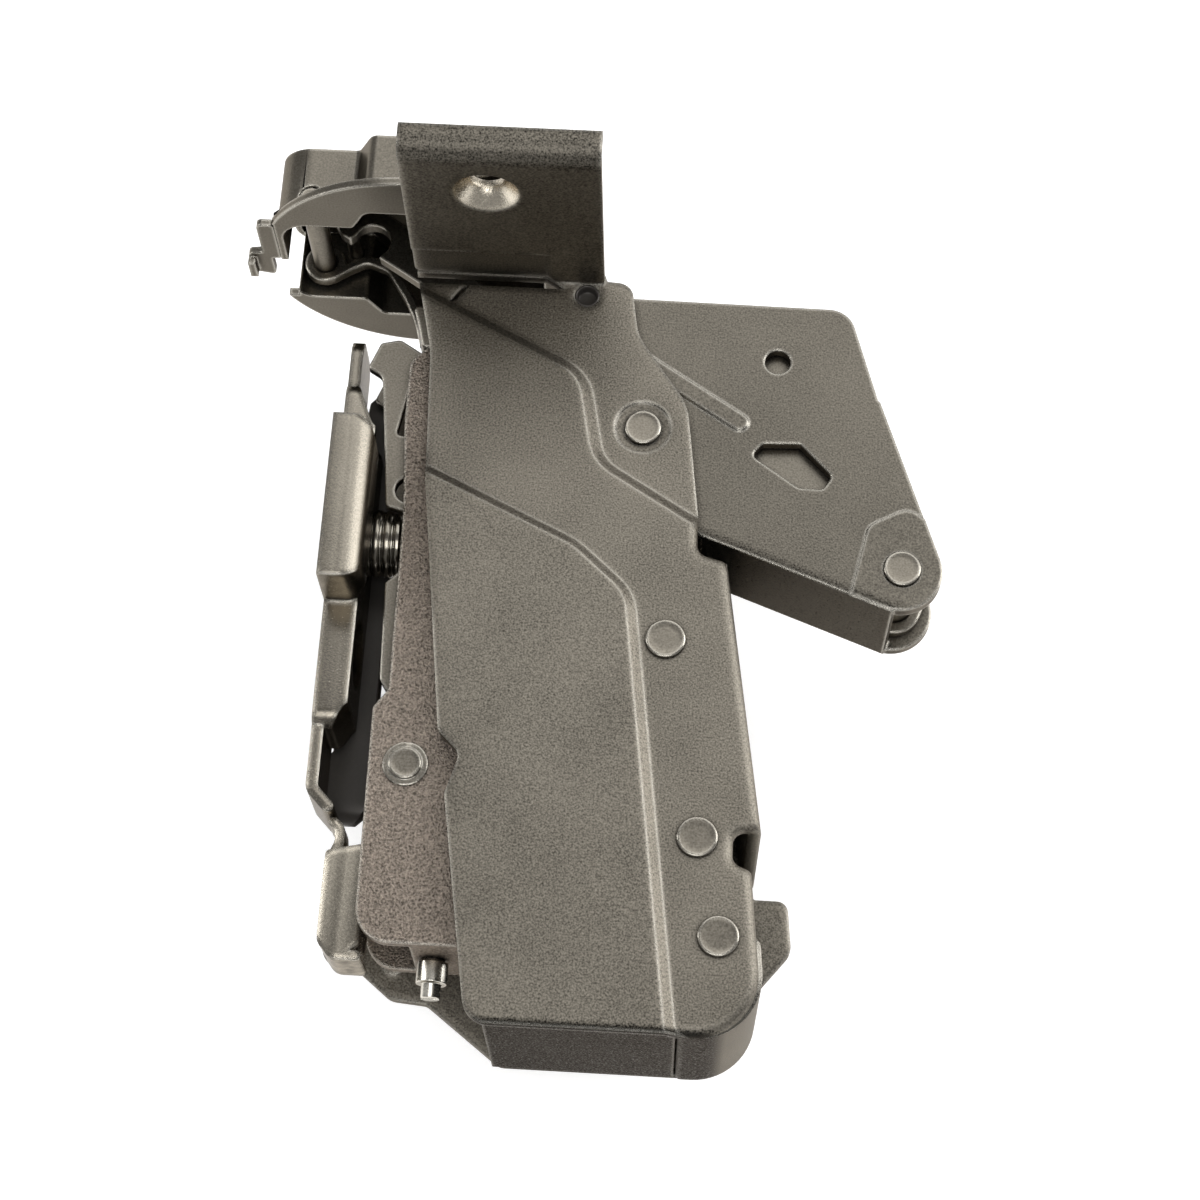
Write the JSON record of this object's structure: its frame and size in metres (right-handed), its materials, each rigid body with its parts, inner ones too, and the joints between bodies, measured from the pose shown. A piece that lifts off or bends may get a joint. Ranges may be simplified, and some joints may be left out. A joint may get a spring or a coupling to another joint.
{
  "type": "concealed cup hinge",
  "caption": "Concealed cabinet hinge with a stepped pressed housing, folding links, a flat door cup, a clip-on arm over a mounting plate, and a built-in damper.",
  "frame": {"origin": "midway between the two screw holes of the mounting plate, on the face that seats on the cabinet wall", "axes": "+X from the cabinet wall into the cabinet opening, +Y toward the door, +Z along the pivots toward the stepped housing plate"},
  "size_m": [0.0922, 0.1146, 0.07],
  "materials": {
    "satin_nickel": "satin nickel plate on pressed steel, fine grain",
    "link_nickel": "satin nickel plate on pressed steel links",
    "cup_nickel": "satin nickel plate on the drawn cup",
    "arm_nickel": "satin nickel plate with a coarse grain",
    "plate_nickel": "satin nickel plate on the die-cast mounting plate",
    "bright_nickel": "bright nickel plate on rivets and pins",
    "screw_nickel": "bright zinc on the adjusting screws",
    "spring_steel": "oiled spring steel",
    "damper_gray": "dark gray plastic of the damper and its cradle",
    "cam_white": "off-white slippery plastic cam"
  },
  "bodies": {
    "plate": {"mounting_plate": "plate_nickel", "clip_carrier": "arm_nickel", "latch_pin": "bright_nickel"},
    "arm": {"hinge_arm": "arm_nickel", "arm_pin": "bright_nickel", "housing_plate": "satin_nickel", "housing_back": "satin_nickel", "frame_rivet_1": "bright_nickel", "frame_rivet_2": "bright_nickel", "frame_rivet_3": "bright_nickel", "pivot_rivet": "bright_nickel", "pivot_stud": "bright_nickel", "guide_stud": "bright_nickel", "damper_body": "damper_gray", "damper_cradle": "damper_gray", "closing_spring": "spring_steel"},
    "release_latch": {"latch": "link_nickel"},
    "side_adjuster": {"side_screw": "screw_nickel"},
    "depth_adjuster": {"depth_screw": "screw_nickel"},
    "fold_link": {"outer_link": "link_nickel", "elbow_rivet": "bright_nickel", "damper_cam": "cam_white"},
    "rod": {"damper_rod": "bright_nickel"},
    "long_lever": {"swing_lever": "link_nickel", "cross_pin": "bright_nickel"},
    "guide": {"guide_link": "link_nickel", "joint_pin": "bright_nickel"},
    "control": {"control_link": "link_nickel"},
    "cup": {"hinge_cup": "cup_nickel", "cup_pin": "bright_nickel", "control_pin": "bright_nickel", "cup_clip": "cup_nickel"}
  },
  "joints": [
    {"name": "depth_slide", "type": "slide", "parent": "plate", "child": "arm", "axis": [0, 1, 0], "range_m": [-0.002, 0.002]},
    {"name": "latch_press", "type": "hinge", "parent": "plate", "child": "release_latch", "pos_m": [0.0144, -0.0455, 0], "axis": [0, 0, 1], "range_deg": [-8, 0]},
    {"name": "side_screw_turn", "type": "hinge", "parent": "plate", "child": "side_adjuster", "pos_m": [0.005, -0.0007, 0], "axis": [1, 0, 0], "continuous": true},
    {"name": "depth_screw_turn", "type": "hinge", "parent": "arm", "child": "depth_adjuster", "pos_m": [0.0169, -0.057, 0], "axis": [0, 1, 0], "continuous": true},
    {"name": "door_swing", "type": "hinge", "parent": "arm", "child": "fold_link", "pos_m": [0.0384, 0.014, 0], "axis": [0, 0, 1], "range_deg": [0, 68.8]},
    {"name": "lever_swing", "type": "hinge", "parent": "fold_link", "child": "long_lever", "pos_m": [0.0716, -0.0031, 0], "axis": [0, 0, 1], "range_deg": [-51.8, 0]},
    {"name": "cup_swing", "type": "hinge", "parent": "long_lever", "child": "cup", "pos_m": [-0.0066, 0.0436, 0], "axis": [0, 0, 1], "range_deg": [0, 93.2]},
    {"name": "guide_swing", "type": "hinge", "parent": "arm", "child": "guide", "pos_m": [0.025, 0.0177, 0], "axis": [0, 0, 1], "range_deg": [0, 79.9]},
    {"name": "control_swing", "type": "hinge", "parent": "guide", "child": "control", "pos_m": [0.0525, 0.011, 0], "axis": [0, 0, 1], "range_deg": [-64, 0]},
    {"name": "damper_slide", "type": "slide", "parent": "arm", "child": "rod", "axis": [0, 1, 0], "range_m": [0, 0.00505]}
  ],
  "couplings": [
    {"joint": "lever_swing", "follows": "door_swing", "ratio": -0.75},
    {"joint": "cup_swing", "follows": "door_swing", "ratio": 1.35},
    {"joint": "guide_swing", "follows": "door_swing", "ratio": 1.158},
    {"joint": "control_swing", "follows": "door_swing", "ratio": -0.928},
    {"joint": "damper_slide", "follows": "door_swing", "m_per_rad": 0.004164}
  ]
}
